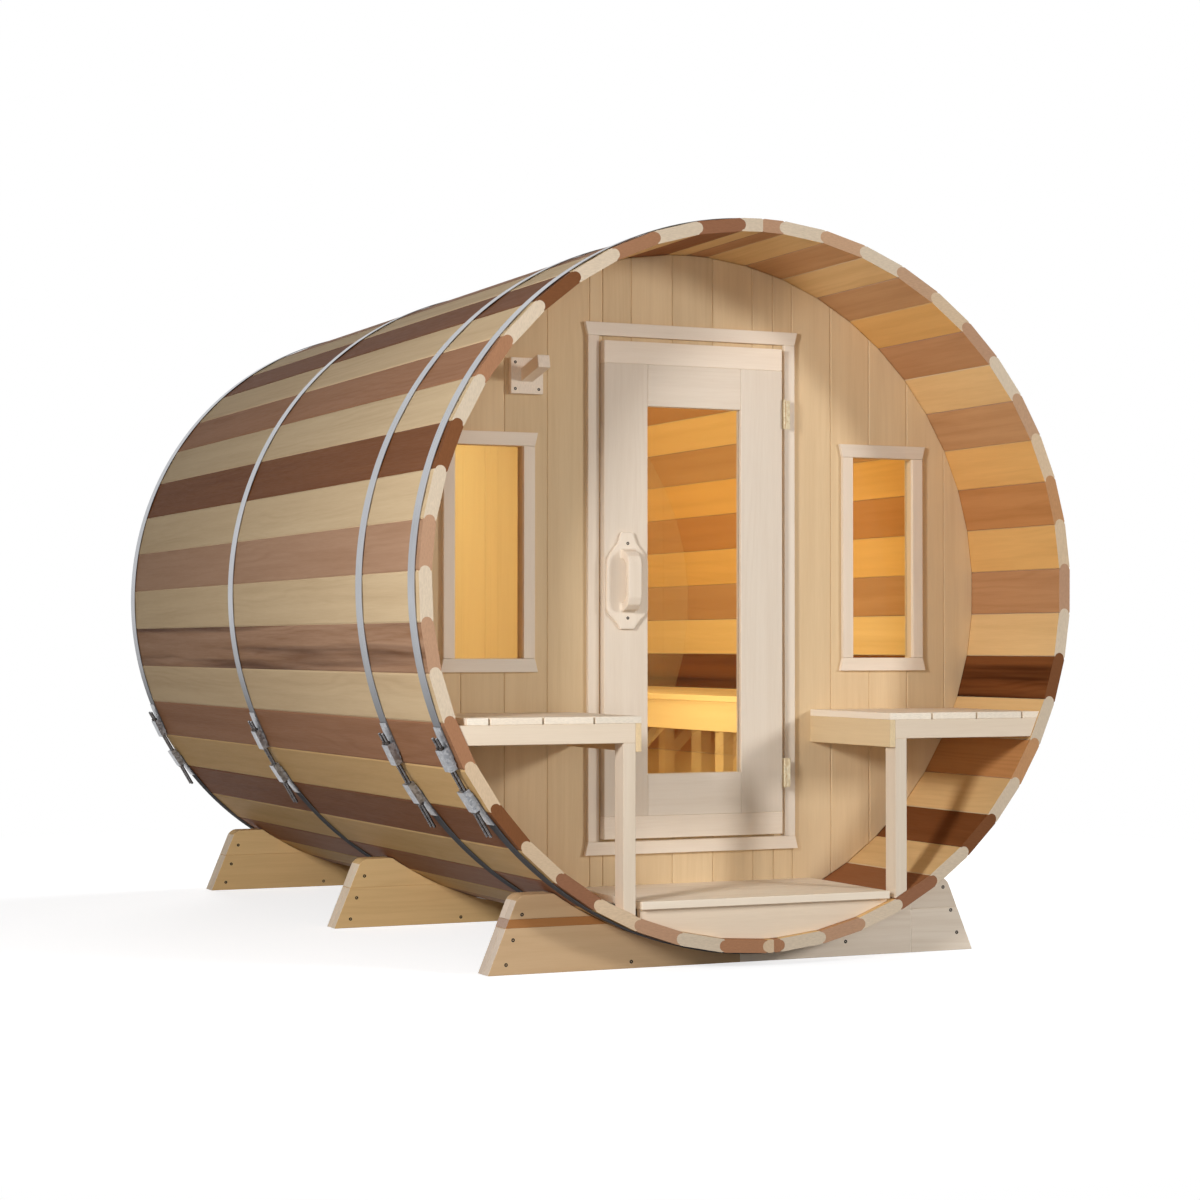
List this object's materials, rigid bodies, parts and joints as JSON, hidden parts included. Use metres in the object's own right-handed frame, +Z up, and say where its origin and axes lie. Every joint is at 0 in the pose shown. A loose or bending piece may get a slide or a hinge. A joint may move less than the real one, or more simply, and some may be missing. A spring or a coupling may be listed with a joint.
{
  "type": "barrel sauna",
  "caption": "Barrel sauna of pale and dark staves in steel bands on cradles, with an open porch, slatted benches, fixed windows and a hinged glazed door into a hollow cabin.",
  "frame": {"origin": "on the ground, under the middle of the barrel", "axes": "+Z up, +Y along the barrel from the porch to the back end, +X to the right seen from the porch"},
  "size_m": [2.1065, 3.1, 2.1443],
  "materials": {
    "pale_stave": "planed softwood, satin",
    "dark_stave": "planed heat-treated softwood, satin",
    "band_steel": "brushed",
    "galvanised_steel": "galvanised",
    "cradle_timber": "planed softwood, satin",
    "wall_timber": "planed softwood, satin",
    "joinery_timber": "planed softwood, satin",
    "bench_timber": "planed softwood, satin",
    "cabin_timber": "planed softwood, satin",
    "hinge_brass": "satin",
    "glass": "clear"
  },
  "bodies": {
    "sauna": {"pale_staves": "pale_stave", "dark_staves": "dark_stave", "front_band": "band_steel", "porch_wall_band": "band_steel", "middle_band": "band_steel", "rear_band": "band_steel", "front_band_tensioner": "galvanised_steel", "porch_wall_band_tensioner": "galvanised_steel", "middle_band_tensioner": "galvanised_steel", "rear_band_tensioner": "galvanised_steel", "front_cradle_beam": "cradle_timber", "middle_cradle_beam": "cradle_timber", "rear_cradle_beam": "cradle_timber", "front_cradle_blocks": "cradle_timber", "middle_cradle_blocks": "cradle_timber", "rear_cradle_blocks": "cradle_timber", "front_wall_left": "wall_timber", "front_wall_right": "wall_timber", "front_wall_head": "wall_timber", "front_wall_foot": "wall_timber", "back_wall": "wall_timber", "door_casing_head_and_sill": "joinery_timber", "door_casing_jambs": "joinery_timber", "left_window_casing": "joinery_timber", "right_window_casing": "joinery_timber", "window_glass": "glass", "frame_hinge_leaves": "hinge_brass", "robe_peg": "joinery_timber", "left_bench_slats": "bench_timber", "right_bench_slats": "bench_timber", "porch_bench_rails": "bench_timber", "porch_bench_aprons": "bench_timber", "porch_bench_legs": "bench_timber", "porch_floor": "bench_timber", "porch_end_panel": "bench_timber", "cabin_floor": "cabin_timber", "cabin_bench_slats": "cabin_timber", "cabin_bench_rail": "cabin_timber", "cabin_bench_supports": "cabin_timber", "cabin_bench_braces": "cabin_timber"},
    "door": {"door_stiles": "joinery_timber", "door_end_rails": "joinery_timber", "door_inner_rails": "joinery_timber", "door_glass": "glass", "door_handle": "joinery_timber", "door_hinge_leaves": "hinge_brass"}
  },
  "joints": [
    {"name": "door_hinge", "type": "hinge", "parent": "sauna", "child": "door", "pos_m": [0.306, -1.112, 1.0785], "axis": [0, 0, 1], "range_deg": [0, 100]}
  ]
}
